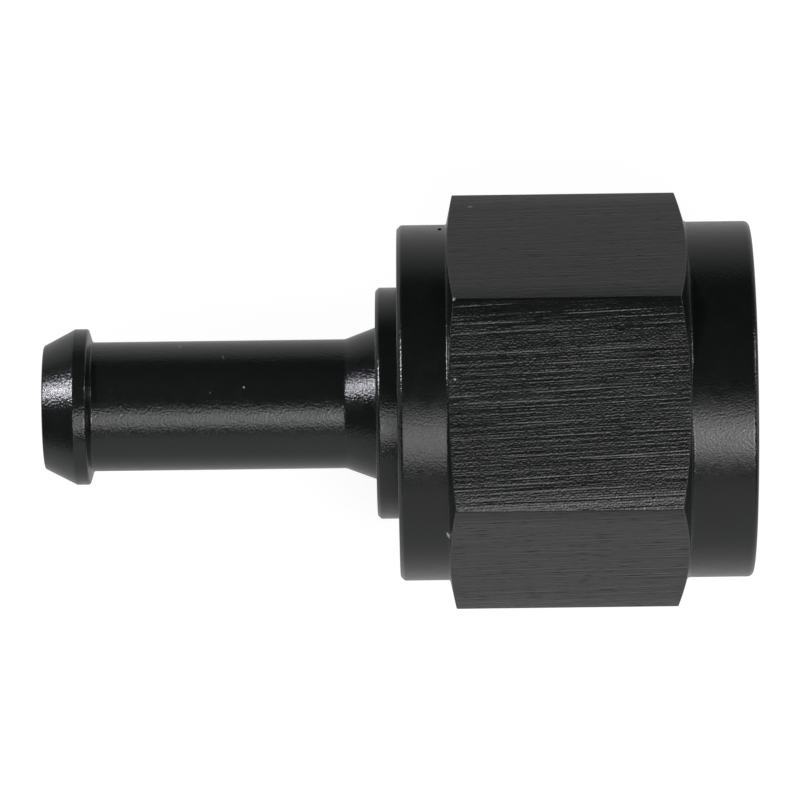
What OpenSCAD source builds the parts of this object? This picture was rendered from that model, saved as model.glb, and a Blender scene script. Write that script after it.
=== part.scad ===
// Swivel hose barb: a turned barb stem, a hexagonal swivel nut and the wire that retains the nut.
// The common axis is X. The barb points to -X and the nut's mouth to +X, with a hex flat underneath.
// The origin is on the axis where the nut's thread starts, just inside the mouth's lead-in.

/* [Hose barb] */
// Diameter of the barb's tip
tip_d = 5.94; // [5.3:0.01:6.2]
// Radius of the rounded edge round the tip
tip_edge_r = 0.12; // [0.05:0.01:0.2]
// Largest diameter of the bead that holds the hose
bead_d = 7.58; // [7.1:0.01:8.4]
// Length of the lead-in cone from the tip to the bead
bead_cone_len = 1.54; // [1:0.01:2]
// Length of the bead's straight land
bead_land_len = 0.62; // [0.4:0.01:1.2]
// Length of the slope at the back of the bead
bead_back_len = 0.2; // [0.1:0.01:0.6]
// Rounding of the bead's back edge, and of the slope's foot
bead_back_r = 0.12; // [0.05:0.01:0.15]
// Diameter of the shank that the hose slides over
shank_d = 6.28; // [5.8:0.01:6.8]
// Length of the shank, from the back of the bead to the start of the neck
shank_len = 12.28; // [8:0.01:20]
// Diameter of the neck where it meets the body
neck_d = 7.41; // [7.1:0.01:8.6]
// Length of the flared neck
neck_len = 1.5; // [1.2:0.01:2.5]
// Radius that blends the shank into the neck
neck_blend_r = 0.3; // [0.1:0.05:1.2]
// Diameter of the passage through the stem
passage_d = 4.6; // [3.6:0.05:4.8]
// Width of the edge break round the passage at the tip
passage_edge = 0.15; // [0.05:0.01:0.25]

/* [Stem body and head] */
// Width of the shoulder between the body and the head's edge, which the nut pulls on
shoulder_width = 0.676; // [0.5:0.001:1]
// Length of body that shows behind the nut
body_exposed_len = 1.07; // [0.6:0.01:4]
// Chamfer of the body's rear edge
body_edge = 0.17; // [0.1:0.01:0.3]
// Thickness of the head that the nut pulls forward
head_len = 3; // [2.4:0.05:3.3]
// Edge break round the head
head_edge = 0.2; // [0.1:0.01:0.3]
// Width of the flat rim round the seat
seat_rim = 0.35; // [0.3:0.01:0.6]
// Half of the cone angle of the flare seat, in degrees
seat_half_angle = 37; // [34:0.5:45]
// Diameter of the counterbore at the bottom of the seat
seat_bore_d = 7.6; // [6.4:0.05:8.4]
// Straight depth of that counterbore
seat_bore_len = 1; // [0.5:0.05:2]
// Half of the point angle that the drill left below the counterbore, in degrees
drill_half_angle = 59; // [55:1:65]

/* [Swivel nut] */
// Wall of the nut between the relief of its thread and the hex flats
nut_wall = 1.385; // [1.1:0.005:2.5]
// Rounding of the hexagon's six long edges
hex_edge_r = 0.1; // [0.05:0.01:0.3]
// Overall length of the nut
nut_len = 17.11; // [15.5:0.01:22]
// Depth of the round collars below the hex flats
collar_step = 0.085; // [0.04:0.005:0.4]
// Length of the rear collar
rear_collar_len = 2.4; // [2:0.05:4]
// Length of the front collar
front_collar_len = 3.18; // [1.5:0.01:5]
// Slope of the hexagon's rear chamfer from square, in degrees
rear_chamfer_angle = 12; // [8:0.5:30]
// Slope of the hexagon's front chamfer from square, in degrees
front_chamfer_angle = 17; // [8:0.5:30]
// Chamfer of the rear collar's outer edge
rear_edge = 0.2; // [0.1:0.01:0.4]
// Radius of the front collar's outer edge
mouth_edge_r = 0.34; // [0.1:0.01:0.5]
// Distance from the nut's rear face to the shoulder that pulls on the head
shoulder_depth = 4.6; // [3.8:0.05:5.2]
// Edge break round the rear bore
rear_bore_edge = 0.12; // [0.05:0.01:0.2]

/* [Thread] */
// Outside diameter of the thread, to the bottom of its grooves
thread_d = 14.29; // [13.9:0.01:15]
// Pitch of the thread
thread_pitch = 1.411; // [1.27:0.001:1.5]
// Length of the relief between the shoulder and the thread
relief_len = 3.5; // [3.3:0.05:5]
// Depth of the relief below the thread's grooves
relief_depth = 0.2; // [0.16:0.01:0.4]
// Width of the lead-in at the mouth
lead_in = 0.35; // [0.2:0.01:0.6]

/* [Retaining wire] */
// Diameter of the wire
wire_d = 1.1; // [0.8:0.05:1.2]
// Distance from the nut's rear face to the middle of the wire
wire_depth = 1.6; // [1.4:0.05:2]
// Opening between the wire's two ends, in degrees round the axis
wire_gap_angle = 24; // [15:1:60]
// Diameter of the hole in the nut that the wire is fed through
feed_hole_d = 1.4; // [1.3:0.05:1.6]

/* [Clearances] */
// Running clearance between the body and the nut's rear bore, on the radius
swivel_clearance = 0.08; // [0.05:0.005:0.1]
// Clearance round the wire in its grooves
wire_clearance = 0.04; // [0.02:0.005:0.08]
// Clearance between the head and the crests of the thread, on the radius
head_clearance = 0.08; // [0.05:0.01:0.2]
// Gap between the nut's shoulder and the head with the nut pulled forward
shoulder_gap = 0.03; // [0.02:0.005:0.05]
// Distance that the nut can slide back from there before the wire stops it
nut_float = 0.4; // [0.2:0.05:0.6]

/* [Hidden] */
$fn = 96;

// Straight steps that an outline's round stretch is drawn with
arc_steps = 6;
hex_edge_steps = 2;
// How far a cutting outline runs past the face that it cuts
overrun = 1;

// Depth of an internal thread of 60 degrees, crest to root, for each unit of pitch
thread_depth = 0.5413 * thread_pitch;
relief_d = thread_d + 2 * relief_depth;
hex_af = relief_d + 2 * nut_wall;
collar_d = hex_af - 2 * collar_step;
head_d = thread_d - 2 * (thread_depth + head_clearance);
seat_d = head_d - 2 * seat_rim;
body_d = head_d - 2 * shoulder_width;
rear_bore_d = body_d + 2 * swivel_clearance;
wire_ring_r = (body_d / 2 + rear_bore_d / 2) / 2;
groove_r = wire_d / 2 + wire_clearance;

// Places along the axis, from the nut's mouth back to the tip of the barb
mouth_x = lead_in;
nut_rear_x = mouth_x - nut_len;
shoulder_x = nut_rear_x + shoulder_depth;
thread_end_x = shoulder_x + relief_len;
wire_x = nut_rear_x + wire_depth;
rear_collar_x = nut_rear_x + rear_collar_len;
front_collar_x = mouth_x - front_collar_len;
head_back_x = shoulder_x + shoulder_gap;
head_front_x = head_back_x + head_len;
body_rear_x = nut_rear_x - body_exposed_len;
neck_x = body_rear_x - neck_len;
bead_back_x = neck_x - shank_len;
bead_land_x = bead_back_x - bead_back_len - bead_land_len;
tip_x = bead_land_x - bead_cone_len;

// The outline's corners behind the bead and along the neck
bead_edge = [bead_back_x - bead_back_len, bead_d / 2];
bead_foot = [bead_back_x, shank_d / 2];
neck_foot = [neck_x, shank_d / 2];
neck_end = [body_rear_x, neck_d / 2];

// Depths of the seat's cone and of the drill's point, from their widths and angles
seat_depth = (seat_d - seat_bore_d) / 2 / tan(seat_half_angle);
drill_depth = (seat_bore_d - passage_d) / 2 / tan(drill_half_angle);

// Points of an arc round (x, r), from one angle to another, both ends included
function arc(x, r, radius, from, to, steps = arc_steps) =
  [for (i = [0:steps]) let (a = from + (to - from) * i / steps)
    [x + radius * cos(a), r + radius * sin(a)]];

// Points of the arc that rounds the corner b between the points a and c
function rounded(a, b, c, radius, steps = arc_steps) =
  let (
    back = (a - b) / norm(a - b),
    ahead = (c - b) / norm(c - b),
    half = acos(back * ahead) / 2,
    centre = b + (back + ahead) / norm(back + ahead) * radius / sin(half),
    first = b + back * radius / tan(half) - centre,
    last = b + ahead * radius / tan(half) - centre,
    from = atan2(first[1], first[0]),
    turn = (atan2(last[1], last[0]) - from + 540) % 360 - 180
  ) arc(centre[0], centre[1], radius, from, from + turn, steps);

// A solid of revolution about X, from an outline of [x, r] points
module turned() {
  rotate([0, 90, 0]) rotate_extrude() mirror([1, -1, 0]) children();
}

// Outline of the groove that just holds the wire, at a place along the axis
module wire_groove(x) {
  translate([x, wire_ring_r]) circle(groove_r);
}

// Outline of the stem's groove, which is longer than the wire by the nut's float
module float_groove() {
  wire_groove(wire_x);
  wire_groove(wire_x - nut_float);
  translate([wire_x - nut_float, wire_ring_r - groove_r]) square([nut_float, 2 * groove_r]);
}

// Outline of the stem: outside from tip to head, then back through the seat and the passage
module stem_outline() {
  polygon(concat(
    [[tip_x, passage_d / 2 + passage_edge]],
    arc(tip_x + tip_edge_r, tip_d / 2 - tip_edge_r, tip_edge_r, 180, 90),
    [[bead_land_x, bead_d / 2]],
    rounded([bead_land_x, bead_d / 2], bead_edge, bead_foot, bead_back_r),
    rounded(bead_edge, bead_foot, neck_foot, bead_back_r),
    rounded(bead_foot, neck_foot, neck_end, neck_blend_r),
    [
      neck_end,
      [body_rear_x, body_d / 2 - body_edge],
      [body_rear_x + body_edge, body_d / 2],
      [head_back_x, body_d / 2],
      [head_back_x, head_d / 2 - head_edge],
      [head_back_x + head_edge, head_d / 2],
      [head_front_x - head_edge, head_d / 2],
      [head_front_x, head_d / 2 - head_edge],
      [head_front_x, seat_d / 2],
      [head_front_x - seat_depth, seat_bore_d / 2],
      [head_front_x - seat_depth - seat_bore_len, seat_bore_d / 2],
      [head_front_x - seat_depth - seat_bore_len - drill_depth, passage_d / 2],
      [tip_x + passage_edge, passage_d / 2]
    ]));
}

module barb_stem() {
  color([0.05, 0.05, 0.055]) turned() difference() {
    stem_outline();
    float_groove();
  }
}

// Cross-section of the hex bar, with flats above and below and rounded long edges
module hex_section() {
  edge_centre_r = (hex_af / 2 - hex_edge_r) / cos(30);
  polygon([for (a = [30:60:330])
    each arc(edge_centre_r * cos(a), edge_centre_r * sin(a), hex_edge_r, a - 30, a + 30, hex_edge_steps)]);
}

// Outline that trims the bar: both collars, and the cone that rises from each to past the corners
module nut_outline() {
  trim_r = hex_af / 2 / cos(30) + overrun;
  rise = trim_r - collar_d / 2;
  polygon(concat(
    [
      [nut_rear_x, 0],
      [nut_rear_x, collar_d / 2 - rear_edge],
      [nut_rear_x + rear_edge, collar_d / 2],
      [rear_collar_x, collar_d / 2],
      [rear_collar_x + rise * tan(rear_chamfer_angle), trim_r],
      [front_collar_x - rise * tan(front_chamfer_angle), trim_r],
      [front_collar_x, collar_d / 2]
    ],
    arc(mouth_x - mouth_edge_r, collar_d / 2 - mouth_edge_r, mouth_edge_r, 90, 0),
    [[mouth_x, 0]]));
}

// Outline of everything bored out of the nut, from its rear face to its mouth
module nut_bore_outline() {
  polygon([
    [nut_rear_x - overrun, 0],
    [nut_rear_x - overrun, rear_bore_d / 2 + rear_bore_edge + overrun],
    [nut_rear_x + rear_bore_edge, rear_bore_d / 2],
    [shoulder_x, rear_bore_d / 2],
    [shoulder_x, relief_d / 2],
    [thread_end_x - relief_depth, relief_d / 2],
    [thread_end_x, thread_d / 2],
    [0, thread_d / 2],
    [lead_in + overrun, thread_d / 2 + lead_in + overrun],
    [lead_in + overrun, 0]
  ]);
  wire_groove(wire_x);
}

module swivel_nut() {
  color([0.05, 0.05, 0.055]) difference() {
    intersection() {
      translate([nut_rear_x - overrun, 0, 0]) rotate([0, 90, 0])
        linear_extrude(nut_len + 2 * overrun) hex_section();
      turned() nut_outline();
    }
    turned() nut_bore_outline();
    translate([wire_x, 0, -collar_d / 2 - overrun])
      cylinder(d = feed_hole_d, h = collar_d / 2 + overrun - wire_ring_r);
  }
}

// The wire, bent to a ring whose ends leave a gap at the top
module retaining_wire() {
  color([0.72, 0.73, 0.74]) translate([wire_x, 0, 0]) rotate([0, 90, 0])
    rotate([0, 0, 180 + wire_gap_angle / 2]) rotate_extrude(angle = 360 - wire_gap_angle)
      translate([wire_ring_r, 0]) circle(d = wire_d);
}

barb_stem();
swivel_nut();
retaining_wire();
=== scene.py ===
"""Looks of a swivel hose barb in black anodised aluminium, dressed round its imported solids.

The barb stem and the swivel nut are rebuilt as fine surfaces of revolution inside the solids' own outlines,
the nut's internal thread is swept along its helix, and the retaining wire keeps its solid. Sizes are written in
millimetres, measured from the tip of the barb or from the nut's faces, and turned to metres where a mesh is made.
"""

import logging
import math
from dataclasses import dataclass
from enum import Enum
from typing import Any, Sequence

import bpy
import numpy as np
from mathutils import Matrix, Quaternion, Vector


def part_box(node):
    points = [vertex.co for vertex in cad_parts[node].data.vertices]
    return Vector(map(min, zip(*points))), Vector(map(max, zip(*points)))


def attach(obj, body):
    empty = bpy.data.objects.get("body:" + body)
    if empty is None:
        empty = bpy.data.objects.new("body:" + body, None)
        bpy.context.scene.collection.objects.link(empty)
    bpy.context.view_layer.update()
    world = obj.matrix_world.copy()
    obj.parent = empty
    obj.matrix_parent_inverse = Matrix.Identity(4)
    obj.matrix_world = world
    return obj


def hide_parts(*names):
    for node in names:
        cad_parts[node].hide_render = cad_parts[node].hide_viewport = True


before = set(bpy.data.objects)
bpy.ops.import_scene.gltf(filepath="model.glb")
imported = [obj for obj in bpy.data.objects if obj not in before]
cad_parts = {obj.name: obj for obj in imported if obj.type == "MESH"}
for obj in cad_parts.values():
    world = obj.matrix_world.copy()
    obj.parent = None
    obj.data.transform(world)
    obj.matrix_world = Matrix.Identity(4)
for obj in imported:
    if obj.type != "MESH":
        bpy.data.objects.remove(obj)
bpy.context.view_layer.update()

MM = 0.001
FLATS = 6
SECTOR = math.tau / FLATS
FLAT_SPACING_MM = 50.0  # How far apart the flats lie in the nut's UVs.
THREAD_HEIGHT = 0.5413  # Height of an inch thread's ridge, as a part of its pitch.
ARC_ROOM = 0.45  # The most that an arc takes of the side next to it.
NEAR_END_MM = 0.05  # From the end of a straight stretch to the extra point there.
NEAR_END_SHARE = 0.25  # The same on a very short stretch, as a part of it.
NEAR_END_CLEAR = 1.5  # How many times as far from the end the first even point lies, at the least.
LOG = logging.getLogger("swivel_hose_barb")
Socket = bpy.types.NodeSocket


class Region(Enum):
    """Which finish a strip of a surface takes: its number is the material slot."""

    TURNED = 0
    LINISHED = 1
    COLLAR = 2


class Lights(Enum):
    """What a lamp reaches: everything, the gloss that mirrors it, or the dye under the gloss."""

    ALL = "all"
    GLOSS = "gloss"
    DYE = "dye"


@dataclass(frozen=True)
class Corner:
    """One corner of an outline in the plane of the axis, in millimetres.

    Args:
        x: place along the axis, a number or one number for each angle round it.
        r: distance from the axis, a number or one number for each angle round it.
        edge: radius that rounds the corner.
        region: finish of the strip from this corner to the next.
    """

    x: float | np.ndarray
    r: float | np.ndarray
    edge: float = 0.03
    region: Region = Region.TURNED


# Surfaces


def hex_radius(angle: np.ndarray, across_flats: float, edge: float) -> np.ndarray:
    """Distance from the axis to a hexagon with rounded edges.

    On a flat it is half the width across flats over the cosine of the angle from that flat's middle. Near an edge it
    is the far crossing of the ray with the rounding circle, whose centre lies on the ray through the edge.

    Args:
        angle: angles round the axis, in radians; an edge lies at 0.
        across_flats: width across the flats.
        edge: radius of the long edges.

    Returns:
        The radius at each angle.
    """
    from_edge = np.abs((angle + SECTOR / 2) % SECTOR - SECTOR / 2)
    flat = across_flats / 2 / np.cos(SECTOR / 2 - from_edge)
    centre = (across_flats / 2 - edge) / math.cos(SECTOR / 2)
    inside = np.clip(edge**2 - (centre * np.sin(from_edge)) ** 2, 0, None)
    rounded = centre * np.cos(from_edge) + np.sqrt(inside)
    touch = SECTOR / 2 - math.atan((across_flats / 2 - edge) * math.tan(SECTOR / 2) / (across_flats / 2))
    return np.where(from_edge < touch, rounded, flat)


def rounded_outline(corners: Sequence[Corner], spacing: float, arc_steps: int = 5) -> tuple[np.ndarray, np.ndarray]:
    """Rounds a closed outline's corners and divides its straight stretches, for every angle round the axis at once.

    A corner becomes an exact arc that touches both sides, drawn as a rational curve of second degree whose middle
    weight is the sine of half the corner's angle. The arc is cut short where a side is too short for it. Each straight
    stretch gets a point close to both its ends, so that the shading of the arcs stays out of it.

    Args:
        corners: the outline, anticlockwise with x to the right and r up.
        spacing: largest distance between points on a stretch.
        arc_steps: points of each arc.

    Returns:
        The points as an array of angles, points and (x, r), and each strip's region number.
    """
    wide = np.broadcast_arrays(*[c.x for c in corners], *[c.r for c in corners])
    count = len(corners)
    place = np.stack([np.stack(wide[:count], -1), np.stack(wide[count:], -1)], -1).astype(float)
    place = place.reshape(-1, count, 2)
    to_next = np.roll(place, -1, 1) - place
    length = np.linalg.norm(to_next, axis=-1)
    ahead = to_next / length[..., None]
    behind = -np.roll(ahead, 1, 1)
    half = np.arccos(np.clip((ahead * behind).sum(-1), -1, 1)) / 2
    room = ARC_ROOM * np.minimum(length, np.roll(length, 1, 1))
    reach = np.minimum(np.array([c.edge for c in corners]) / np.tan(half), room)
    step = np.linspace(0, 1, arc_steps)
    first, middle, last = (1 - step) ** 2, 2 * step * (1 - step), step**2
    weight = middle * np.sin(half)[..., None]
    start = place + behind * reach[..., None]
    end = place + ahead * reach[..., None]
    arcs = (
        first[:, None] * start[:, :, None]
        + weight[..., None] * place[:, :, None]
        + last[:, None] * end[:, :, None]
    ) / (first + weight + last)[..., None]
    points, regions = [], []
    for j, corner in enumerate(corners):
        gap = arcs[:, (j + 1) % count, 0] - arcs[:, j, -1]
        longest = np.linalg.norm(gap, axis=-1).max()
        inner = np.linspace(0, 1, max(2, math.ceil(longest / spacing) + 1))[1:-1]
        near = min(NEAR_END_SHARE, NEAR_END_MM / longest)
        clear = (inner > NEAR_END_CLEAR * near) & (inner < 1 - NEAR_END_CLEAR * near)
        share = np.unique(np.concatenate([[near], inner[clear], [1 - near]]))
        points += [arcs[:, j], arcs[:, j, -1:] + share[:, None] * gap[:, None]]
        regions += [Region.TURNED.value] * (arc_steps - 1) + [corner.region.value] * (len(share) + 1)
    return np.concatenate(points, 1), np.array(regions)


def mesh_piece(name: str, points: np.ndarray, quads: np.ndarray, regions: np.ndarray | None = None) -> bpy.types.Object:
    """Puts points and four-cornered faces into a smooth mesh, facing outwards.

    The volume inside is the sum of the pyramids from the origin to each face; where it comes out negative, the faces
    look inwards and are turned.

    Args:
        name: the piece's name.
        points: corners, in millimetres.
        quads: the faces' corner numbers.
        regions: each face's material slot number.

    Returns:
        The linked object, at the origin.
    """
    a, b, c, d = (points[quads[:, i]] for i in range(4))
    volume = (np.cross(b - a, c - a) * a + np.cross(c - a, d - a) * a).sum() / 6
    if volume < 0:
        quads = quads[:, ::-1]
    mesh = bpy.data.meshes.new(name)
    mesh.from_pydata((points * MM).tolist(), [], quads.tolist())
    mesh.polygons.foreach_set("use_smooth", np.ones(len(quads), bool))
    if regions is not None:
        mesh.polygons.foreach_set("material_index", regions.astype(np.int32))
    mesh.update()
    piece = bpy.data.objects.new(name, mesh)
    bpy.context.scene.collection.objects.link(piece)
    return piece


def grid_quads(rows: int, columns: int, wrap_rows: bool = True) -> np.ndarray:
    """Faces of a grid of points whose columns close on themselves.

    Args:
        rows: points along the first direction.
        columns: points along the second, closed direction.
        wrap_rows: whether the last row joins the first.

    Returns:
        The faces' corner numbers, row by row.
    """
    number = np.arange(rows * columns).reshape(rows, columns)
    right = np.roll(number, -1, 1)
    quads = np.stack([number, right, np.roll(right, -1, 0), np.roll(number, -1, 0)], -1)
    return quads[: rows if wrap_rows else rows - 1].reshape(-1, 4)


def rod_quads(rings: int, columns: int) -> np.ndarray:
    """Faces of a rod of rings, filled at both ends: each end is one strip of faces from side to side of its ring.

    Args:
        rings: rings along the rod.
        columns: points of each ring, an even number.

    Returns:
        The faces' corner numbers: the side, then the two ends.
    """
    ring = np.arange(columns)
    half, back = columns // 2, ring[::-1]
    end = np.stack([ring[: half - 1], ring[1:half], back[1:half], back[: half - 1]], -1)
    return np.concatenate([grid_quads(rings, columns, wrap_rows=False), end[:, ::-1], end + (rings - 1) * columns])


def turned_piece(name: str, outline: np.ndarray, angle: np.ndarray, regions: np.ndarray) -> bpy.types.Object:
    """Carries an outline round the X axis: y is the radius times the angle's cosine, and z times its sine.

    Args:
        name: the piece's name.
        outline: points as (x, r), one outline for all angles or one for each.
        angle: angles round the axis, in radians, over a full turn.
        regions: region number of each strip of the outline.

    Returns:
        The closed piece.
    """
    outline = np.broadcast_to(outline, (len(angle), *outline.shape[1:]))
    x, r = outline[..., 0], outline[..., 1]
    points = np.stack([x, r * np.cos(angle)[:, None], r * np.sin(angle)[:, None]], -1)
    quads = grid_quads(*x.shape)
    return mesh_piece(name, points.reshape(-1, 3), quads, np.tile(regions, len(angle)))


# Finishes


def linear(colour: str) -> tuple[float, float, float, float]:
    """Turns an sRGB hex colour to the linear values that a shader takes.

    Args:
        colour: six hex digits after a hash sign.

    Returns:
        Red, green, blue and a full alpha.
    """
    values = [int(colour[i : i + 2], 16) / 255 for i in (1, 3, 5)]
    curve = [v / 12.92 if v <= 0.04045 else ((v + 0.055) / 1.055) ** 2.4 for v in values]
    return (*curve, 1.0)


def add_node(
    tree: bpy.types.NodeTree, kind: str, inputs: dict[str | int, Any] | None = None, **settings: Any
) -> bpy.types.Node:
    """Adds a shader node with its settings and its links.

    Args:
        tree: the material's or world's nodes.
        kind: the node's type, without its ShaderNode prefix.
        inputs: input name or number to a value, or to the output socket that is linked to it.
        **settings: the node's own attributes.

    Returns:
        The node.
    """
    node = tree.nodes.new("ShaderNode" + kind)
    for key, value in settings.items():
        setattr(node, key, value)
    for key, value in (inputs or {}).items():
        if isinstance(value, Socket):
            tree.links.new(value, node.inputs[key])
        else:
            node.inputs[key].default_value = value
    return node


def empty_material(name: str) -> bpy.types.Material:
    """Makes a material with no nodes, ready for a finish to fill.

    Args:
        name: the material's name.

    Returns:
        The material.
    """
    material = bpy.data.materials.new(name)
    material.use_nodes = True
    material.node_tree.nodes.clear()
    return material


@dataclass(frozen=True)
class Knock:
    """A small knock from handling, as the photograph shows a few.

    Args:
        place: its middle on the surface, in millimetres.
        reach: half its size along X, Y and Z before it is turned, in millimetres.
        turn: how far it is turned about Z, in degrees.
        bare: how much of the metal shows through the film, from 0 to 1; a knock with none is a pit of painted shade.
    """

    place: tuple[float, float, float]
    reach: tuple[float, float, float]
    turn: float = 0.0
    bare: float = 1.0


@dataclass(frozen=True)
class BlackAnodise:
    """The oxide film that covers the whole fitting: dyed black, sealed, and smooth between the marks of the metal.

    The dyed film is a near-black dielectric, so the gloss comes from the oxide's surface and not from the metal. Its
    gloss is faintly mottled, and a few small knocks show bright metal, or a pit whose shade is painted as a matte
    near-black patch.

    Args:
        mottle_mm, mottle: size of the gloss's clouds, and how far they move its roughness either way.
        mottle_range: noise at which a cloud is glossiest, and at which it is dullest.
        knock_fade: part of a knock's reach at which it starts to fade, and at which it is gone.
    """

    colour: str = "#1a1d1c"
    roughness: float = 0.2
    ior: float = 1.6
    mottle_mm: float = 0.8
    mottle: float = 0.04
    mottle_range: tuple[float, float] = (0.3, 0.7)
    metal: str = "#d9dadb"
    metal_roughness: float = 0.5
    # Painted shade: the matte near-black that pits and the bottoms of tears show in place of the film.
    pit_shade: str = "#050505"
    knock_fade: tuple[float, float] = (0.7, 1.3)
    knocks: tuple[Knock, ...] = (
        Knock((-14.66, 8.41, 2.01), (0.09, 0.1, 0.3), bare=0.0),
        Knock((-14.03, 5.09, 8.73), (0.1, 0.1, 0.14)),
        Knock((-14.41, -6.25, 6.33), (0.06, 0.18, 0.5), turn=24.0),
        Knock((-14.01, 1.26, 8.73), (0.06, 0.05, 0.1), bare=0.5),
        Knock((-13.17, 9.49, 1.03), (0.13, 0.05, 0.15), bare=0.25),
        Knock((-24.18, 0.91, 3.0), (0.045, 0.045, 0.1), bare=0.8),
        Knock((-25.2, 2.36, 2.07), (0.03, 0.11, 0.15), turn=38.0, bare=0.4),
        Knock((-27.32, 2.9, 1.2), (0.05, 0.05, 0.15), bare=0.3),
        Knock((-25.81, 0.67, 3.07), (0.04, 0.04, 0.1), bare=0.2),
    )

    def knocked(self, tree: bpy.types.NodeTree, place: Socket, dark: bool) -> Socket:
        """Finds where the knocks lie: each is one inside its own ellipsoid, and fades to nothing past its edge.

        Args:
            tree: the material's nodes.
            place: place on the object.
            dark: whether to find the pits, which take painted shade, or the bright knocks.

        Returns:
            How much of the metal, or of the pit's painted shade, shows.
        """
        shown = None
        for knock in self.knocks:
            if (knock.bare == 0) != dark:
                continue
            local = add_node(tree, "Mapping", {
                "Vector": place,
                "Location": tuple(v * MM for v in knock.place),
                "Rotation": (0, 0, math.radians(knock.turn)),
                "Scale": tuple(v * MM for v in knock.reach),
            }, vector_type="TEXTURE")
            away = add_node(tree, "VectorMath", {0: local.outputs[0]}, operation="LENGTH").outputs["Value"]
            one = add_node(tree, "MapRange", {
                "Value": away,
                "From Min": self.knock_fade[0],
                "From Max": self.knock_fade[1],
                "To Min": 1.0 if dark else knock.bare,
                "To Max": 0.0,
            }).outputs[0]
            shown = one if shown is None else add_node(tree, "Math", {0: shown, 1: one}, operation="MAXIMUM").outputs[0]
        return shown

    def finish(self, material: bpy.types.Material, normal: Socket, tear_shade: Socket | None = None) -> bpy.types.Material:
        """Lays the film over a worked surface.

        Args:
            material: the material to complete.
            normal: the surface's normal, with its marks.
            tear_shade: how much painted shade the surface's tears take, from 0 to 1.

        Returns:
            The same material.
        """
        tree = material.node_tree
        place = add_node(tree, "TexCoord").outputs["Object"]
        cloud = add_node(tree, "TexNoise", {
            "Vector": place,
            "Scale": 1 / (self.mottle_mm * MM),
            "Detail": 3.0,
            "Roughness": 0.7,
        })
        rough = add_node(tree, "MapRange", {
            "Value": cloud.outputs["Fac"],
            "From Min": self.mottle_range[0],
            "From Max": self.mottle_range[1],
            "To Min": self.roughness - self.mottle,
            "To Max": self.roughness + self.mottle,
        })
        film = add_node(tree, "BsdfPrincipled", {
            "Base Color": linear(self.colour),
            "Roughness": rough.outputs[0],
            "IOR": self.ior,
            "Normal": normal,
        })
        metal = add_node(tree, "BsdfPrincipled", {
            "Base Color": linear(self.metal),
            "Metallic": 1.0,
            "Roughness": self.metal_roughness,
            "Normal": normal,
        })
        # Painted shade for pits and tears: a matte near-black in place of the film.
        pit_shade = add_node(tree, "BsdfDiffuse", {"Color": linear(self.pit_shade)})
        bare = self.knocked(tree, place, dark=False)
        worn = add_node(tree, "MixShader", {0: bare, 1: film.outputs[0], 2: metal.outputs[0]})
        # Where the painted shade shows: the pits, and the tears when the surface has them.
        dark = self.knocked(tree, place, dark=True)
        if tear_shade is not None:
            dark = add_node(tree, "Math", {0: dark, 1: tear_shade}, operation="MAXIMUM").outputs[0]
        surface = add_node(tree, "MixShader", {0: dark, 1: worn.outputs[0], 2: pit_shade.outputs[0]})
        add_node(tree, "OutputMaterial", {"Surface": surface.outputs[0]})
        return material


@dataclass(frozen=True)
class BlastDents:
    """The shallow dents of a fine blast, which break each highlight into a fine sparkle with a ragged edge.

    Real ones are finer: these are drawn at the size of a pixel or two of the photograph, as coarse as they need to
    show. A highlight along a turned piece shows only the dents' slopes across it, which smears them along the piece,
    and the squeeze makes up for that.

    Args:
        size_mm, depth_mm: distance between dents, and their depth.
        squeeze: how much closer they lie along the axis than round it.
        detail: how many sets of finer dents lie among them.
    """

    size_mm: float
    depth_mm: float
    squeeze: float = 1.0
    detail: float = 1.0

    def over(self, tree: bpy.types.NodeTree, normal: Socket) -> Socket:
        """Lays the dents over a surface.

        Args:
            tree: the material's nodes.
            normal: the surface's normal, with its other marks.

        Returns:
            The normal.
        """
        place = add_node(tree, "TexCoord").outputs["Object"]
        squeezed = add_node(tree, "Mapping", {"Vector": place, "Scale": (self.squeeze, 1.0, 1.0)})
        dents = add_node(tree, "TexNoise", {
            "Vector": squeezed.outputs[0],
            "Scale": 1 / (self.size_mm * MM),
            "Detail": self.detail,
            "Roughness": 0.6,
        })
        return add_node(tree, "Bump", {
            "Height": dents.outputs["Fac"],
            "Distance": self.depth_mm * MM,
            "Normal": normal,
        }).outputs[0]


@dataclass(frozen=True)
class BlastedMetal:
    """Aluminium, turned and then fine-blasted, with faint turning lines left under the blast's dents."""

    dents: BlastDents = BlastDents(0.11, 0.0175, squeeze=1.2)
    turning_mm: float = 0.3
    turning_depth_mm: float = 0.0012

    def material(self, film: BlackAnodise, name: str = "blasted_black_anodise") -> bpy.types.Material:
        """Builds the material.

        Args:
            film: the oxide over it.
            name: the material's name.

        Returns:
            The material.
        """
        material = empty_material(name)
        tree = material.node_tree
        place = add_node(tree, "TexCoord").outputs["Object"]
        along = add_node(tree, "SeparateXYZ", {0: place}).outputs["X"]
        lines = add_node(tree, "TexNoise", {
            "W": along,
            "Scale": 1 / (self.turning_mm * MM),
            "Detail": 1.0,
        }, noise_dimensions="1D")
        turned = add_node(tree, "Bump", {"Height": lines.outputs["Fac"], "Distance": self.turning_depth_mm * MM})
        return film.finish(material, self.dents.over(tree, turned.outputs[0]))


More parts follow.
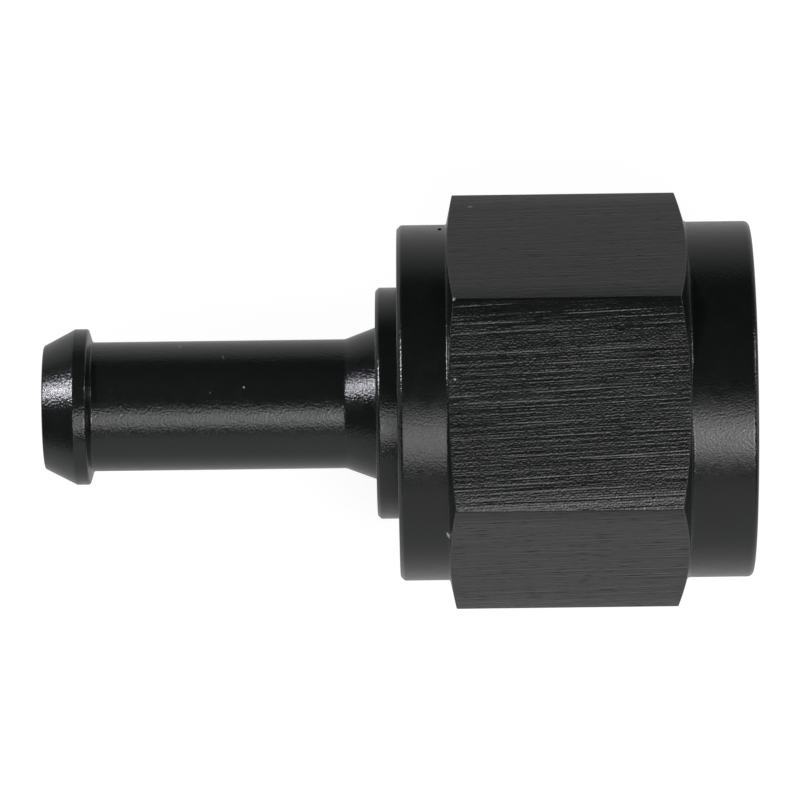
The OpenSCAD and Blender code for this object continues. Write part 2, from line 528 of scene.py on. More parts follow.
@dataclass(frozen=True)
class LinishedMetal:
    """The bar's flats, linished lengthwise on a belt.

    The belt leaves scratches that run nearly along the axis, a few long grooves that break off and start again, and
    short tears whose shaded bottoms are painted dark. It rolls each flat over a little towards its long edges, so a
    flat fades there from dark to light instead of mirroring one tone. The blast's dents lie over all of it.

    Args:
        long_width: half a groove's width, on the noise that draws the grooves.
        break_range: noise at which a groove starts, and at which it is whole.
        tear_from, tear_fade: noise at which a tear's painted shade starts, and how far past it that shade is as dark
        as it gets.
        tilt: turn of all the marks against the axis, in degrees.
        roll_start_mm: distance from a flat's middle to where it starts to roll over.
    """

    scratch_pitch_mm: float = 0.12
    scratch_length_mm: float = 10.0
    scratch_depth_mm: float = 0.016
    long_pitch_mm: float = 0.8
    long_length_mm: float = 90.0
    long_width: float = 0.035
    long_depth_mm: float = 0.009
    break_pitch_mm: float = 0.4
    break_length_mm: float = 4.0
    break_range: tuple[float, float] = (0.35, 0.6)
    tear_pitch_mm: float = 0.1
    tear_length_mm: float = 1.2
    tear_from: float = 0.62
    tear_fade: float = 0.12
    # How dark the painted shade in the bottom of a tear gets, from 0 to 1.
    tear_shade_strength: float = 0.75
    tilt: float = 2.6
    dents: BlastDents = BlastDents(0.095, 0.0105, detail=0.0)
    roll_radius_mm: float = 15.0
    roll_start_mm: float = 3.7

    def roll_over(self, tree: bpy.types.NodeTree, across: Socket) -> Socket:
        """Rolls the flat over: past the roll's start, the drop is the square of the way past it over twice the radius.

        Args:
            tree: the material's nodes.
            across: place across the flats, with the flats set apart.

        Returns:
            The normal.
        """
        half = FLAT_SPACING_MM * MM / 2
        steepness = -0.5 / (self.roll_radius_mm * MM)
        local = add_node(tree, "Math", {0: across, 1: half, 2: -half}, operation="WRAP").outputs[0]
        side = add_node(tree, "Math", {0: local}, operation="ABSOLUTE").outputs[0]
        past = add_node(tree, "Math", {0: side, 1: self.roll_start_mm * MM}, operation="SUBTRACT").outputs[0]
        past = add_node(tree, "Math", {0: past, 1: 0.0}, operation="MAXIMUM").outputs[0]
        square = add_node(tree, "Math", {0: past, 1: past}, operation="MULTIPLY").outputs[0]
        drop = add_node(tree, "Math", {0: square, 1: steepness}, operation="MULTIPLY").outputs[0]
        return add_node(tree, "Bump", {"Height": drop, "Distance": 1.0}).outputs[0]

    def streaks(
        self, tree: bpy.types.NodeTree, flat: Socket, pitch_mm: float, length_mm: float, detail: float
    ) -> Socket:
        """Draws noise that is stretched along the axis and turned a little off it.

        Args:
            tree: the material's nodes.
            flat: place on the flats.
            pitch_mm: distance between streaks.
            length_mm: length of a streak.
            detail: finer streaks inside each.

        Returns:
            The noise, from 0 to 1.
        """
        turned = add_node(tree, "Mapping", {"Vector": flat, "Rotation": (0, 0, math.radians(self.tilt))})
        stretched = add_node(tree, "Mapping", {
            "Vector": turned.outputs[0],
            "Scale": (1 / (length_mm * MM), 1 / (pitch_mm * MM), 1),
        })
        inputs = {"Vector": stretched.outputs[0], "Scale": 1.0, "Detail": detail, "Roughness": 0.6}
        return add_node(tree, "TexNoise", inputs).outputs["Fac"]

    def scratched(self, tree: bpy.types.NodeTree, flat: Socket, worked: Socket, normal: Socket) -> Socket:
        """Scratches the flat, and cuts the long grooves along the lines where a stretched noise crosses its middle.

        Args:
            tree: the material's nodes.
            flat: place on the flats.
            worked: how hard the belt worked this flat.
            normal: the rolled flat's normal.

        Returns:
            The normal.
        """
        scratches = self.streaks(tree, flat, self.scratch_pitch_mm, self.scratch_length_mm, 2.0)
        fine = add_node(tree, "Bump", {
            "Height": scratches,
            "Strength": worked,
            "Distance": self.scratch_depth_mm * MM,
            "Normal": normal,
        })
        sweep = self.streaks(tree, flat, self.long_pitch_mm, self.long_length_mm, 1.0)
        off = add_node(tree, "Math", {0: sweep, 1: 0.5}, operation="SUBTRACT").outputs[0]
        off = add_node(tree, "Math", {0: off}, operation="ABSOLUTE").outputs[0]
        height = add_node(tree, "MapRange", {"Value": off, "From Max": self.long_width}).outputs[0]
        breaks = self.streaks(tree, flat, self.break_pitch_mm, self.break_length_mm, 0.0)
        start, whole = self.break_range
        left = add_node(tree, "MapRange", {"Value": breaks, "From Min": start, "From Max": whole}).outputs[0]
        cut = add_node(tree, "Math", {0: left, 1: worked}, operation="MULTIPLY").outputs[0]
        return add_node(tree, "Bump", {
            "Height": height,
            "Strength": cut,
            "Distance": self.long_depth_mm * MM,
            "Normal": fine.outputs[0],
        }).outputs[0]

    def tear_shade(self, tree: bpy.types.NodeTree, flat: Socket, worked: Socket) -> Socket:
        """Finds where the belt tore the flat: where a stretched noise is high, and darker the higher it is.

        Args:
            tree: the material's nodes.
            flat: place on the flats.
            worked: how hard the belt worked this flat.

        Returns:
            How much painted shade shows in the tears' bottoms.
        """
        # Painted shade in the tears' bottoms, darker where the noise is higher.
        tears = add_node(tree, "MapRange", {
            "Value": self.streaks(tree, flat, self.tear_pitch_mm, self.tear_length_mm, 1.0),
            "From Min": self.tear_from,
            "From Max": self.tear_from + self.tear_fade,
            "To Max": self.tear_shade_strength,
        }).outputs[0]
        return add_node(tree, "Math", {0: tears, 1: worked}, operation="MULTIPLY").outputs[0]

    def material(self, film: BlackAnodise) -> bpy.types.Material:
        """Builds the material, on UVs that hold metres along the axis and across each flat.

        Args:
            film: the oxide over it.

        Returns:
            The material.
        """
        material = empty_material("linished_black_anodise")
        tree = material.node_tree
        flat = add_node(tree, "UVMap", uv_map="flats").outputs["UV"]
        across = add_node(tree, "SeparateXYZ", {0: flat}).outputs["Y"]
        worked = add_node(tree, "Attribute", attribute_name="linished").outputs["Fac"]
        scratched = self.scratched(tree, flat, worked, self.roll_over(tree, across))
        return film.finish(material, self.dents.over(tree, scratched), self.tear_shade(tree, flat, worked))


@dataclass(frozen=True)
class DrawnSpringWire:
    """Stainless spring wire, drawn: bright metal whose fine grain makes its roughness spread either way."""

    colour: str = "#b9babb"
    roughness: float = 0.29
    spread: float = 0.09
    mark_mm: float = 0.08

    def material(self) -> bpy.types.Material:
        """Builds the material.

        Returns:
            The material.
        """
        material = empty_material("drawn_spring_wire")
        tree = material.node_tree
        place = add_node(tree, "TexCoord").outputs["Object"]
        marks = add_node(tree, "TexNoise", {"Vector": place, "Scale": 1 / (self.mark_mm * MM), "Detail": 2.0})
        rough = add_node(tree, "MapRange", {
            "Value": marks.outputs["Fac"],
            "To Min": self.roughness - self.spread,
            "To Max": self.roughness + self.spread,
        })
        surface = add_node(tree, "BsdfPrincipled", {
            "Base Color": linear(self.colour),
            "Metallic": 1.0,
            "Roughness": rough.outputs[0],
        })
        add_node(tree, "OutputMaterial", {"Surface": surface.outputs[0]})
        return material


# The object's pieces


@dataclass(frozen=True)
class Layout:
    """Places and sizes that the pieces share, in millimetres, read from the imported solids' boxes.

    Args:
        tip, head_front, nut_rear, mouth: places along the axis.
        head_radius, across_flats: the head's radius, and the hexagon's width.
        wire_depth: from the nut's rear face to the retaining wire.
        wire_groove_r: radius of the groove that holds the wire, half in the nut and half in the stem.
    """

    tip: float
    head_front: float
    head_radius: float
    nut_rear: float
    mouth: float
    across_flats: float
    wire_depth: float = 1.6
    wire_groove_r: float = 0.59

    @property
    def wire(self) -> float:
        """Place of the retaining wire along the axis."""
        return self.nut_rear + self.wire_depth

    @classmethod
    def from_frame(cls) -> "Layout":
        """Reads the places from the frame.

        Returns:
            The layout.
        """
        stem_low, stem_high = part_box("barb_stem")
        nut_low, nut_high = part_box("swivel_nut")
        return cls(
            tip=stem_low.x / MM,
            head_front=stem_high.x / MM,
            head_radius=stem_high.z / MM,
            nut_rear=nut_low.x / MM,
            mouth=nut_high.x / MM,
            across_flats=(nut_high.z - nut_low.z) / MM,
        )


@dataclass(frozen=True)
class BarbStem:
    """The turned stem: barb, neck, body and head, bored from end to end. Diameters and lengths in millimetres."""

    layout: Layout
    tip_d: float = 5.98
    tip_edge: float = 0.12
    bead_d: float = 7.58
    bead_cone_len: float = 1.54
    bead_land_len: float = 0.62
    bead_back_len: float = 0.2
    bead_front_edge: float = 0.05
    bead_back_edge: float = 0.12
    bead_foot_edge: float = 0.1
    shank_d: float = 6.28
    neck_d: float = 7.41
    neck_len: float = 1.5
    neck_blend: float = 0.5
    neck_root_edge: float = 0.06
    body_d: float = 11.25
    body_exposed_len: float = 1.07
    body_chamfer: float = 0.17
    chamfer_edge: float = 0.14
    passage_d: float = 4.6
    passage_edge: float = 0.15
    head_len: float = 3.0
    head_edge: float = 0.2
    seat_rim: float = 0.35
    seat_half_angle: float = 37.0
    seat_bore_d: float = 7.6
    seat_bore_len: float = 1.0
    drill_half_angle: float = 59.0
    wire_groove_edge: float = 0.55
    nut_float: float = 0.4
    swivel_clearance: float = 0.08
    turn_steps: int = 288

    def corners(self) -> list[Corner]:
        """Lists the outline's corners, from the tip through the passage to the seat and back outside.

        Returns:
            The corners.
        """
        place = self.layout
        body_rear = place.nut_rear - self.body_exposed_len
        land_end = place.tip + self.bead_cone_len + self.bead_land_len
        head_back = place.head_front - self.head_len
        seat_r = place.head_radius - self.seat_rim
        seat_end = place.head_front - (seat_r - self.seat_bore_d / 2) / math.tan(math.radians(self.seat_half_angle))
        bore_end = seat_end - self.seat_bore_len
        drill_end = bore_end - (self.seat_bore_d - self.passage_d) / 2 / math.tan(math.radians(self.drill_half_angle))
        groove_floor = self.body_d / 2 + self.swivel_clearance / 2 - place.wire_groove_r
        groove_rear = place.wire - self.nut_float - place.wire_groove_r
        groove_front = place.wire + place.wire_groove_r
        return [
            Corner(place.tip + self.passage_edge, self.passage_d / 2),
            Corner(drill_end, self.passage_d / 2),
            Corner(bore_end, self.seat_bore_d / 2),
            Corner(seat_end, self.seat_bore_d / 2),
            Corner(place.head_front, seat_r),
            Corner(place.head_front, place.head_radius - self.head_edge),
            Corner(place.head_front - self.head_edge, place.head_radius),
            Corner(head_back + self.head_edge, place.head_radius),
            Corner(head_back, place.head_radius - self.head_edge),
            Corner(head_back, self.body_d / 2),
            Corner(groove_front, self.body_d / 2),
            Corner(groove_front, groove_floor, self.wire_groove_edge),
            Corner(groove_rear, groove_floor, self.wire_groove_edge),
            Corner(groove_rear, self.body_d / 2),
            Corner(body_rear + self.body_chamfer, self.body_d / 2, self.chamfer_edge),
            Corner(body_rear, self.body_d / 2 - self.body_chamfer, self.chamfer_edge),
            Corner(body_rear, self.neck_d / 2, self.neck_root_edge),
            Corner(body_rear - self.neck_len, self.shank_d / 2, self.neck_blend),
            Corner(land_end + self.bead_back_len, self.shank_d / 2, self.bead_foot_edge),
            Corner(land_end, self.bead_d / 2, self.bead_back_edge),
            Corner(place.tip + self.bead_cone_len, self.bead_d / 2, self.bead_front_edge),
            Corner(place.tip, self.tip_d / 2, self.tip_edge),
            Corner(place.tip, self.passage_d / 2 + self.passage_edge),
        ]

    def build(self, finish: bpy.types.Material) -> bpy.types.Object:
        """Makes the stem and sets it on its body.

        Args:
            finish: the stem's material.

        Returns:
            The piece.
        """
        outline, regions = rounded_outline(self.corners(), spacing=0.45)
        angle = np.arange(self.turn_steps) / self.turn_steps * math.tau
        piece = turned_piece("stem_surface", outline, angle, regions)
        piece.data.materials.append(finish)
        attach(piece, "stem")
        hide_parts("barb_stem")
        return piece


@dataclass(frozen=True)
class SwivelNut:
    """The nut of hex bar, with a turned collar at each end and a screw thread inside. Sizes in millimetres.

    Args:
        drill_past: how far outside the nut the feed hole's drill starts.
        ridge_sunk: how deep the thread's ridge is rooted in the bore's wall.
        ridge_end: gap between the ridge and the mouth's lead-in.
        ridge_ramp: part of a turn over which the ridge grows.
        ridge_least, ridge_tip: parts of its height and its width at its very ends.
        ridge_steps: steps in a turn of the ridge.
        edge_step: width of the narrow strip along each side of a flat.
        linished: how hard the belt worked each flat, round from the upper one on the far side.
    """

    layout: Layout
    hex_edge: float = 0.1
    collar_step: float = 0.085
    rear_collar_len: float = 2.4
    front_collar_len: float = 3.18
    rear_chamfer_angle: float = 12.0
    front_chamfer_angle: float = 17.0
    rear_chamfer: float = 0.2
    rear_edge: float = 0.15
    mouth_edge: float = 0.26
    rear_fillet: float = 0.1
    front_fillet: float = 0.2
    chamfer_edge: float = 0.06
    rear_bore_r: float = 5.705
    rear_bore_edge: float = 0.12
    shoulder_depth: float = 4.6
    relief_len: float = 3.5
    relief_depth: float = 0.2
    relief_edge: float = 0.15
    thread_r: float = 7.145
    lead_in: float = 0.35
    wire_ring_r: float = 5.665
    wire_groove_edge: float = 0.5
    feed_hole_d: float = 1.4
    drill_past: float = 1.0
    drill_steps: int = 48
    pitch: float = 1.411
    ridge_sunk: float = 0.02
    ridge_edge: float = 0.06
    ridge_end: float = 0.1
    ridge_ramp: float = 0.3
    ridge_least: float = 0.03
    ridge_tip: float = 0.05
    ridge_steps: int = 120
    flat_steps: int = 50
    edge_step: float = 0.06
    hex_edge_steps: int = 6
    linished: tuple[float, ...] = (0.55, 1.0, 1.0, 0.7, 0.9, 0.6)

    def angles(self) -> np.ndarray:
        """Lists the angles round the axis: even steps across each flat, and close ones over each long edge.

        Returns:
            The angles, in radians.
        """
        half_flat = self.layout.across_flats / 2
        side = (half_flat - self.hex_edge) * math.tan(SECTOR / 2)
        inner = np.linspace(-side, side, self.flat_steps)[1:-1]
        across = np.concatenate([[-side, self.edge_step - side], inner, [side - self.edge_step, side]])
        flat = np.arctan(across / half_flat)
        edge = np.linspace(flat[-1], SECTOR + flat[0], self.hex_edge_steps)[1:-1]
        one = np.concatenate([flat, edge]) + SECTOR / 2
        return (one + SECTOR * np.arange(FLATS)[:, None]).ravel()

    def corners(self, angle: np.ndarray) -> list[Corner]:
        """Lists the outline's corners, from the rear bore through to the mouth and back over the hexagon.

        The hexagon's distance from the axis changes with the angle, and each chamfer is a cone from its collar, so
        the chamfer's upper end moves along the axis by the rise above the collar times the chamfer's slope.

        Args:
            angle: angles round the axis, in radians.

        Returns:
            The corners, with arrays where they change with the angle.
        """
        place = self.layout
        collar_r = place.across_flats / 2 - self.collar_step
        hexagon = hex_radius(angle, place.across_flats, self.hex_edge)
        rear_collar = place.nut_rear + self.rear_collar_len
        front_collar = place.mouth - self.front_collar_len
        rear_top = rear_collar + (hexagon - collar_r) * math.tan(math.radians(self.rear_chamfer_angle))
        front_top = front_collar - (hexagon - collar_r) * math.tan(math.radians(self.front_chamfer_angle))
        groove_floor = self.wire_ring_r + place.wire_groove_r
        groove_rear, groove_front = place.wire - place.wire_groove_r, place.wire + place.wire_groove_r
        shoulder = place.nut_rear + self.shoulder_depth
        thread_end = shoulder + self.relief_len
        return [
            Corner(place.nut_rear + self.rear_bore_edge, self.rear_bore_r),
            Corner(groove_rear, self.rear_bore_r),
            Corner(groove_rear, groove_floor, self.wire_groove_edge),
            Corner(groove_front, groove_floor, self.wire_groove_edge),
            Corner(groove_front, self.rear_bore_r),
            Corner(shoulder, self.rear_bore_r),
            Corner(shoulder, self.thread_r + self.relief_depth, self.relief_edge),
            Corner(thread_end - self.relief_depth, self.thread_r + self.relief_depth),
            Corner(thread_end, self.thread_r),
            Corner(place.mouth - self.lead_in, self.thread_r),
            Corner(place.mouth, self.thread_r + self.lead_in),
            Corner(place.mouth, collar_r, self.mouth_edge, Region.COLLAR),
            Corner(front_collar, collar_r, self.front_fillet),
            Corner(front_top, hexagon, self.chamfer_edge, Region.LINISHED),
            Corner(rear_top, hexagon, self.chamfer_edge),
            Corner(rear_collar, collar_r, self.rear_fillet, Region.COLLAR),
            Corner(place.nut_rear + self.rear_chamfer, collar_r, self.rear_edge),
            Corner(place.nut_rear, collar_r - self.rear_chamfer, self.rear_edge),
            Corner(place.nut_rear, self.rear_bore_r + self.rear_bore_edge),
        ]

    def lay_flats(self, piece: bpy.types.Object) -> None:
        """Gives each face UVs in metres: along the axis, and across its own flat with the flats set apart.

        A face belongs to the flat whose middle its own centre lies nearest to, and the distance across is the part of
        a corner's place at right angles to that flat's middle. How hard the belt worked each flat goes with it.

        Args:
            piece: the nut.
        """
        mesh = piece.data
        corner_count = len(mesh.loops)
        place = np.empty(len(mesh.vertices) * 3)
        mesh.vertices.foreach_get("co", place)
        vertex = np.empty(corner_count, np.int32)
        mesh.loops.foreach_get("vertex_index", vertex)
        corner = place.reshape(-1, 3)[vertex]
        centre = np.empty(len(mesh.polygons) * 3)
        mesh.polygons.foreach_get("center", centre)
        sides = np.empty(len(mesh.polygons), np.int32)
        mesh.polygons.foreach_get("loop_total", sides)
        centre = np.repeat(centre.reshape(-1, 3), sides, 0)
        flat = np.floor(np.arctan2(centre[:, 2], centre[:, 1]) / SECTOR).astype(int)
        middle = (flat + 0.5) * SECTOR
        across = corner[:, 2] * np.cos(middle) - corner[:, 1] * np.sin(middle)
        worked = mesh.attributes.new("linished", "FLOAT", "CORNER")
        worked.data.foreach_set("value", np.array(self.linished, np.float32)[flat % len(self.linished)])
        layer = mesh.uv_layers.new(name="flats")
        layer.data.foreach_set("uv", np.stack([corner[:, 0], across + flat * FLAT_SPACING_MM * MM], -1).ravel())

    def drill_feed_hole(self, piece: bpy.types.Object) -> None:
        """Cuts the hole that the retaining wire was fed through, straight up from below into the wire's groove.

        Args:
            piece: the nut.
        """
        bottom, top = -self.layout.across_flats / 2 - self.drill_past, -self.wire_ring_r
        r = self.feed_hole_d / 2
        angle = np.arange(self.drill_steps) / self.drill_steps * math.tau
        points = np.concatenate([
            np.column_stack([self.layout.wire + r * np.cos(angle), r * np.sin(angle), np.full(len(angle), height)])
            for height in (bottom, top)
        ])
        drill = mesh_piece("feed_drill", points, rod_quads(2, len(angle)))
        cut = piece.modifiers.new("feed_hole", "BOOLEAN")
        cut.object, cut.solver = drill, "EXACT"
        bpy.context.view_layer.update()
        done = bpy.data.meshes.new_from_object(piece.evaluated_get(bpy.context.evaluated_depsgraph_get()))
        piece.modifiers.clear()
        piece.data = done
        bpy.data.objects.remove(drill)

    def build(
        self, turned: bpy.types.Material, linished: bpy.types.Material, collar: bpy.types.Material
    ) -> bpy.types.Object:
        """Makes the nut and sets it on its body.

        Args:
            turned: material of the chamfers and bores.
            linished: material of the hex flats.
            collar: material of the two collars, which are duller than the stem.

        Returns:
            The piece.
        """
        angle = self.angles()
        outline, regions = rounded_outline(self.corners(angle), spacing=0.6)
        piece = turned_piece("nut_surface", outline, angle, regions)
        for finish in (turned, linished, collar):
            piece.data.materials.append(finish)
        self.drill_feed_hole(piece)
        self.lay_flats(piece)
        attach(piece, "nut")
        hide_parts("swivel_nut")
        return piece

    def build_thread(self, finish: bpy.types.Material) -> bpy.types.Object:
        """Sweeps the thread's ridge along its helix inside the bore.

        The ridge is a trapezoid with flanks at 30 degrees, an eighth of the pitch between ridges at the bore and a
        quarter of it across the crest. Point by point, x is the start plus the pitch times the turns so far plus the
        place across the ridge, and the radius is the bore's less the ridge's height, which grows from next to
        nothing over the first part of a turn and fades again at the end.

        Args:
            finish: the thread's material.

        Returns:
            The piece.
        """
        height = THREAD_HEIGHT * self.pitch
        root, crest = self.pitch * 7 / 16, self.pitch / 8
        shape, _ = rounded_outline([
            Corner(-root, -self.ridge_sunk),
            Corner(root, -self.ridge_sunk),
            Corner(crest, height, self.ridge_edge),
            Corner(-crest, height, self.ridge_edge),
        ], spacing=0.4, arc_steps=3)
        shape = shape[0]
        shoulder = self.layout.nut_rear + self.shoulder_depth
        start = shoulder + self.relief_len + root
        turns = (self.layout.mouth - self.lead_in - self.ridge_end - start) / self.pitch
        turn = np.linspace(0, turns, math.ceil(turns * self.ridge_steps))
        ramp = np.clip(np.minimum(turn, turns - turn) / self.ridge_ramp, 0.0, 1.0)
        ramp = self.ridge_least + (1 - self.ridge_least) * ramp * ramp * (3 - 2 * ramp)
        angle = turn * math.tau
        scale = np.where(shape[:, 1] > 0, ramp[:, None], 1.0)
        narrow = self.ridge_tip + (1 - self.ridge_tip) * ramp[:, None]
        x = start + self.pitch * turn[:, None] + shape[:, 0] * narrow
        r = self.thread_r - shape[:, 1] * scale
        points = np.stack([x, r * np.cos(angle)[:, None], r * np.sin(angle)[:, None]], -1).reshape(-1, 3)
        rows, columns = x.shape
        piece = mesh_piece("nut_thread", points, rod_quads(rows, columns))
        piece.data.materials.append(finish)
        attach(piece, "nut")
        return piece


# The studio


@dataclass(frozen=True)
class Camera:
    """A long lens that looks straight down on the fitting, as the photograph was taken.

    Args:
        scale_mm: millimetres of the axis that one pixel of the photograph covers.
        distance_mm: from the lens to the axis.
        roll, lean: turn of the picture, and tilt of the lens towards the far side, in degrees.
        tip_px, square_px: columns where the tip lies and where the lens stands square to the axis.
        axis_px: row of the axis in the middle column.
    """

    layout: Layout
    scale_mm: float = 0.04866
    distance_mm: float = 297.0
    roll: float = 0.73
    lean: float = 1.15
    tip_px: float = 44.9
    square_px: float = 449.0
    axis_px: float = 403.0
    image_px: float = 800.0
    sensor_mm: float = 36.0
    clip_m: tuple[float, float] = (0.01, 10.0)

    def build(self) -> bpy.types.Object:
        """Makes the camera and gives it to the scene.

        Returns:
            The camera.
        """
        middle = self.image_px / 2
        aim_x = self.layout.tip + (middle - self.tip_px) * self.scale_mm
        lens_x = self.layout.tip + (self.square_px - self.tip_px) * self.scale_mm
        aim = Vector((aim_x, (self.axis_px - middle) * self.scale_mm, 0)) * MM
        lean = math.radians(self.lean)
        where = Vector((lens_x, self.distance_mm * math.sin(lean), self.distance_mm * math.cos(lean))) * MM
        back = (where - aim).normalized()
        roll = math.radians(self.roll)
        up = Vector((math.sin(roll), math.cos(roll), 0))
        right = up.cross(back).normalized()
        up = back.cross(right)
        data = bpy.data.cameras.new("camera")
        data.sensor_width = self.sensor_mm
        data.lens = self.sensor_mm * (where - aim).length / MM / (self.image_px * self.scale_mm)
        data.clip_start, data.clip_end = self.clip_m
        camera = bpy.data.objects.new("camera", data)
        bpy.context.scene.collection.objects.link(camera)
        camera.matrix_world = Matrix((
            (right.x, up.x, back.x, where.x),
            (right.y, up.y, back.y, where.y),
            (right.z, up.z, back.z, where.z),
            (0, 0, 0, 1),
        ))
        bpy.context.scene.camera = camera
        return camera


@dataclass(frozen=True)
class Lamp:
    """A rectangular lamp that faces the fitting.

    Args:
        name: what the lamp is for.
        towards: direction from the fitting to the lamp.
        distance_mm: how far away it stands.
        size_mm: its width and height.
        watts: its power.
        colour: its light.
        turn: how far it is turned about its own beam, in degrees.
        lights: what it reaches.
    """

    name: str
    towards: tuple[float, float, float]
    distance_mm: float
    size_mm: tuple[float, float]
    watts: float
    colour: str = "#ffffff"
    turn: float = 0.0
    lights: Lights = Lights.ALL

    def build(self, centre: Vector) -> bpy.types.Object:
        """Makes the lamp, aimed at the fitting.

        Args:
            centre: the point that it faces, in metres.

        Returns:
            The lamp.
        """
        data = bpy.data.lights.new(self.name, "AREA")
        data.shape = "RECTANGLE"
        data.size, data.size_y = self.size_mm[0] * MM, self.size_mm[1] * MM
        data.energy = self.watts
        data.color = linear(self.colour)[:3]
        lamp = bpy.data.objects.new(self.name, data)
        bpy.context.scene.collection.objects.link(lamp)
        direction = Vector(self.towards).normalized()
        lamp.location = centre + direction * self.distance_mm * MM
        aim = direction.to_track_quat("Z", "Y") @ Quaternion((0, 0, 1), math.radians(self.turn))
        lamp.rotation_euler = aim.to_euler()
        lamp.visible_camera = False
        lamp.visible_diffuse = self.lights is not Lights.GLOSS
        lamp.visible_glossy = self.lights is not Lights.DYE
        return lamp


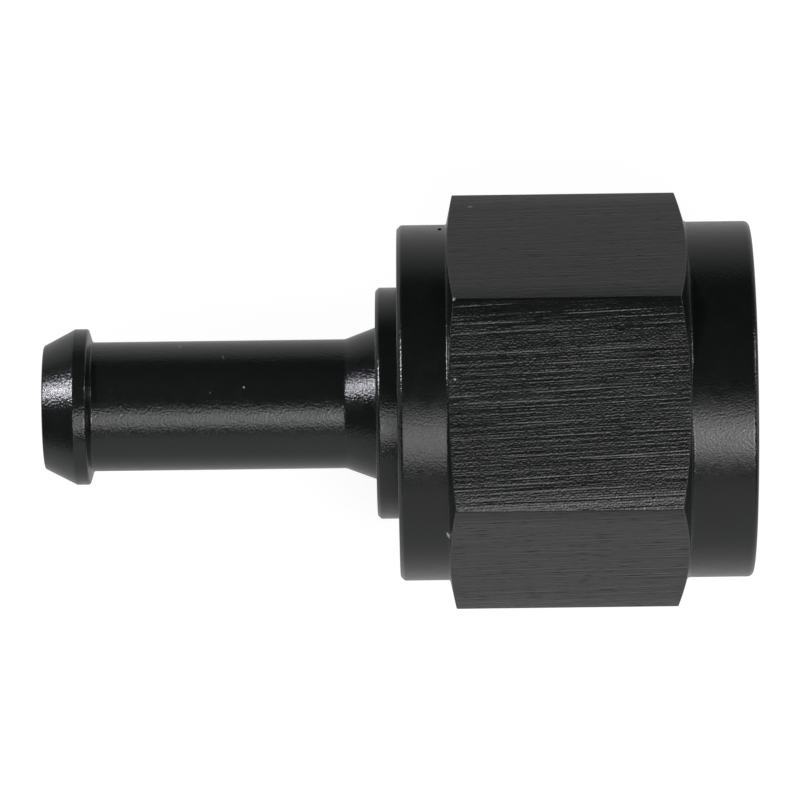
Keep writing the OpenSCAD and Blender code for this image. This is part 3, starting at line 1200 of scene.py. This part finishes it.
@dataclass(frozen=True)
class Studio:
    """A white table in a dark room: a broad lamp above the near side, a dim white wall there, and lamps at both ends.

    Args:
        table_mm: half the width of the table.
        painted_reflection_levels: a painted reflection of the table's light, a glow that only the fitting's gloss
            sees, with a pool on the near side that falls away, as pairs of a place across the table in millimetres
            and a level; the first two are the table's near and far ends, the others lie between them.
        painted_reflection_tint: blue of the painted reflection, where red and green are one.
        paint: how pale the table is to all other light.
        glow: how white the table looks to the camera before its own light is added.
        shade: share of the table's own light, and so of the fitting's shadow, that the camera sees.
        room: strength of the room's own light.
    """

    layout: Layout
    table_mm: float = 2500.0
    # Painted reflection: levels of a glow that only glossy rays see, a pool of light on the near side that falls away.
    painted_reflection_levels: tuple[tuple[float, float], ...] = (
        (-120.0, 0.45), (400.0, 0.06), (-60.0, 0.46), (-33.0, 0.49), (-20.0, 0.56), (14.0, 0.52), (20.0, 0.46),
        (33.0, 0.37), (45.0, 0.32), (64.0, 0.25), (110.0, 0.18),
    )
    # Blue of the painted reflection.
    painted_reflection_tint: float = 1.02
    paint: float = 0.6
    glow: float = 0.9
    shade: float = 0.25
    room: float = 0.0
    lamps: tuple[Lamp, ...] = (
        Lamp("broad_lamp", (0.0, -0.389, 0.921), 400, (250, 205), 0.332),
        Lamp("side_lamp", (0.36, -0.37, 0.88), 400, (150, 150), 0.40),
        Lamp("near_wall", (0.0, -0.94, 0.34), 400, (700, 290), 0.31),
        Lamp("tip_lamp", (-0.842, 0.352, 0.417), 400, (45, 100), 0.64, "#f7f6ff", -53, Lights.GLOSS),
        Lamp("neck_lamp", (-0.653, 0.404, 0.646), 400, (45, 100), 0.46, "#f7f6ff", -48),
        Lamp("right_lamp", (0.79, 0.36, 0.50), 400, (80, 150), 0.2),
        Lamp("mouth_lamp", (0.96, -0.12, 0.25), 400, (160, 160), 0.12),
        Lamp("fill_lamp", (-0.5, 0.4, 0.77), 400, (300, 300), 0.24, lights=Lights.DYE),
    )

    def centre(self) -> Vector:
        """Gives the middle of the fitting, in metres."""
        return Vector(((self.layout.tip + self.layout.mouth) / 2, 0, 0)) * MM

    def table(self) -> bpy.types.Object:
        """Makes the table, which shows white with the fitting's own shadow on it.

        The camera sees a white glow and a share of the painted top's own light. The fitting's gloss sees a painted
        reflection instead: a glow that follows painted_reflection_levels, a pool of light on the near side that falls
        away across the table. Every other ray sees the paint.

        Returns:
            The table.
        """
        half = self.table_mm
        height = -self.layout.across_flats / 2
        points = np.array([(-half, -half, height), (half, -half, height), (half, half, height), (-half, half, height)])
        table = mesh_piece("table", points, np.array([[0, 1, 2, 3]]))
        if table.data.polygons[0].normal.z < 0:
            table.data.flip_normals()
        material = empty_material("white_table")
        tree = material.node_tree
        place = add_node(tree, "TexCoord").outputs["Object"]
        across = add_node(tree, "SeparateXYZ", {0: place}).outputs["Y"]
        near, far = self.painted_reflection_levels[0][0], self.painted_reflection_levels[1][0]
        share = add_node(tree, "MapRange", {"Value": across, "From Min": near * MM, "From Max": far * MM})
        ramp = add_node(tree, "ValToRGB", {0: share.outputs[0]})
        stops = ramp.color_ramp.elements
        for number, (where, level) in enumerate(self.painted_reflection_levels):
            spot = (where - near) / (far - near)
            stop = stops[number] if number < len(stops) else stops.new(spot)
            stop.position, stop.color = spot, (level, level, level * self.painted_reflection_tint, 1.0)
        # Painted reflection: glossy rays see this glow across the table in place of its lit and shaded top.
        painted_reflection = add_node(tree, "Emission", {"Color": ramp.outputs[0], "Strength": 1.0})
        lit = add_node(tree, "BsdfDiffuse", {"Color": (self.paint, self.paint, self.paint, 1.0)})
        shade = add_node(tree, "BsdfDiffuse", {"Color": (self.shade, self.shade, self.shade, 1.0)})
        glow = add_node(tree, "Emission", {"Color": linear("#ffffff"), "Strength": self.glow})
        seen = add_node(tree, "AddShader", {0: glow.outputs[0], 1: shade.outputs[0]})
        path = add_node(tree, "LightPath")
        thrown = add_node(tree, "MixShader", {
            0: path.outputs["Is Glossy Ray"],
            1: lit.outputs[0],
            2: painted_reflection.outputs[0],
        })
        surface = add_node(tree, "MixShader", {
            0: path.outputs["Is Camera Ray"],
            1: thrown.outputs[0],
            2: seen.outputs[0],
        })
        add_node(tree, "OutputMaterial", {"Surface": surface.outputs[0]})
        table.data.materials.append(material)
        return table

    def world(self) -> bpy.types.World:
        """Makes the room: dark for the light that falls on the fitting, white where the camera looks past it.

        Returns:
            The world.
        """
        world = bpy.data.worlds.new("room")
        world.use_nodes = True
        tree = world.node_tree
        tree.nodes.clear()
        path = add_node(tree, "LightPath")
        dark = add_node(tree, "Background", {"Color": linear("#ffffff"), "Strength": self.room})
        white = add_node(tree, "Background", {"Color": linear("#ffffff"), "Strength": 1.0})
        both = add_node(tree, "MixShader", {0: path.outputs["Is Camera Ray"], 1: dark.outputs[0], 2: white.outputs[0]})
        add_node(tree, "OutputWorld", {"Surface": both.outputs[0]})
        bpy.context.scene.world = world
        return world

    def build(self) -> None:
        """Makes the table, the room and the lamps."""
        self.table()
        self.world()
        for lamp in self.lamps:
            lamp.build(self.centre())


def main() -> None:
    """Builds the studio, then dresses the fitting piece by piece."""
    logging.basicConfig(level=logging.INFO, format="%(message)s")
    bpy.context.scene.view_settings.view_transform = "Standard"
    layout = Layout.from_frame()
    Camera(layout).build()
    Studio(layout).build()
    # The flats take the dye a little darker than the stem does, and the collars darker still and duller.
    turned = BlastedMetal().material(BlackAnodise())
    linished = LinishedMetal().material(BlackAnodise(colour="#151716"))
    collar_film = BlackAnodise(colour="#141615", roughness=0.24)
    collar = BlastedMetal(BlastDents(0.095, 0.012)).material(collar_film, "dull_blasted_black_anodise")
    nut = SwivelNut(layout)
    pieces = [
        BarbStem(layout).build(turned),
        nut.build(turned, linished, collar),
        nut.build_thread(turned),
    ]
    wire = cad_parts["retaining_wire"]
    wire.data.materials.clear()
    wire.data.materials.append(DrawnSpringWire().material())
    for piece in [*pieces, wire]:
        LOG.info("%s: %d faces", piece.name, len(piece.data.polygons))


if __name__ == "__main__":
    main()
